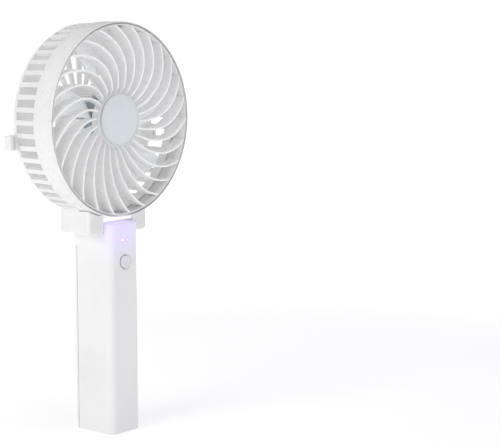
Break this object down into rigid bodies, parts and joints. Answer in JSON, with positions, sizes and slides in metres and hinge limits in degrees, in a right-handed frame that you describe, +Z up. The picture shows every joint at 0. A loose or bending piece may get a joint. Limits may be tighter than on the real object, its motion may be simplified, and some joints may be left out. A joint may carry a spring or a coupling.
{
  "type": "handheld electric fan",
  "caption": "White folding hand fan: round head with a swirl grille and slotted rear cover on a slim battery handle, hinged at the top of the handle's back.",
  "frame": {"origin": "centre of the handle's flat bottom face", "axes": "+Z up along the handle, -Y the way the fan blows, +X to the right seen from the front"},
  "size_m": [0.1092, 0.0357, 0.2186],
  "materials": {
    "white_shell": "white moulded plastic, satin gloss",
    "white_grille": "white moulded plastic, glossy",
    "cap_plastic": "pale cool grey disc, glossy",
    "button_plastic": "pale grey-white button",
    "impeller_plastic": "translucent cool white plastic",
    "light_lens": "clear lens with a violet light behind it",
    "diffuser": "milky light guide",
    "cell_wrap": "heat-shrunk sleeve",
    "nickel": "nickel plate",
    "steel": "plain steel",
    "brass": "turned brass",
    "copper": "enamelled copper windings on a steel core",
    "magnet": "sintered ferrite",
    "board": "green circuit board",
    "black_plastic": "black moulded plastic",
    "chip": "moulded component",
    "led": "light-emitting diode"
  },
  "bodies": {
    "handle": {"handle_shell": "white_shell", "battery_cell": "cell_wrap", "battery_spring": "nickel", "spring_contact": "nickel", "tip_contact": "nickel", "battery_tray": "black_plastic", "control_board": "board", "board_screw_left": "steel", "board_screw_right": "steel", "usb_socket": "steel", "switch_body": "black_plastic", "speed_light_lens": "light_lens", "charge_light_lens": "light_lens", "speed_light_led": "led", "charge_light_led": "led", "glow_led": "led", "light_guide": "diffuser", "charge_chip": "chip", "boost_coil": "chip", "hinge_pin": "steel", "hinge_washer_left": "steel", "hinge_washer_right": "steel"},
    "battery_cover": {"battery_cover": "white_shell"},
    "button": {"power_button": "button_plastic", "switch_plunger": "black_plastic"},
    "head": {"rear_cover": "white_shell", "front_grille": "white_grille", "hub_cap": "cap_plastic", "motor_cover": "white_shell", "motor_can": "steel", "motor_end_cap": "black_plastic", "motor_magnet_left": "magnet", "motor_magnet_right": "magnet", "front_bush": "brass", "hinge_cap_left": "white_shell", "hinge_cap_right": "white_shell"},
    "impeller": {"impeller": "impeller_plastic", "impeller_insert": "brass", "motor_shaft": "steel", "motor_armature": "copper"}
  },
  "joints": [
    {"name": "head_fold", "type": "hinge", "parent": "handle", "child": "head", "pos_m": [0, 0.0172, 0.1113], "axis": [-1, 0, 0], "range_deg": [0, 180]},
    {"name": "impeller_spin", "type": "hinge", "parent": "head", "child": "impeller", "pos_m": [0, 0, 0.1674], "axis": [0, 1, 0], "continuous": true},
    {"name": "button_press", "type": "slide", "parent": "handle", "child": "button", "axis": [0, 1, 0], "range_m": [0, 0.0005], "stiffness_N_per_m": 1500},
    {"name": "cover_slide", "type": "slide", "parent": "handle", "child": "battery_cover", "axis": [0, 0, -1], "range_m": [0, 0.03]}
  ]
}
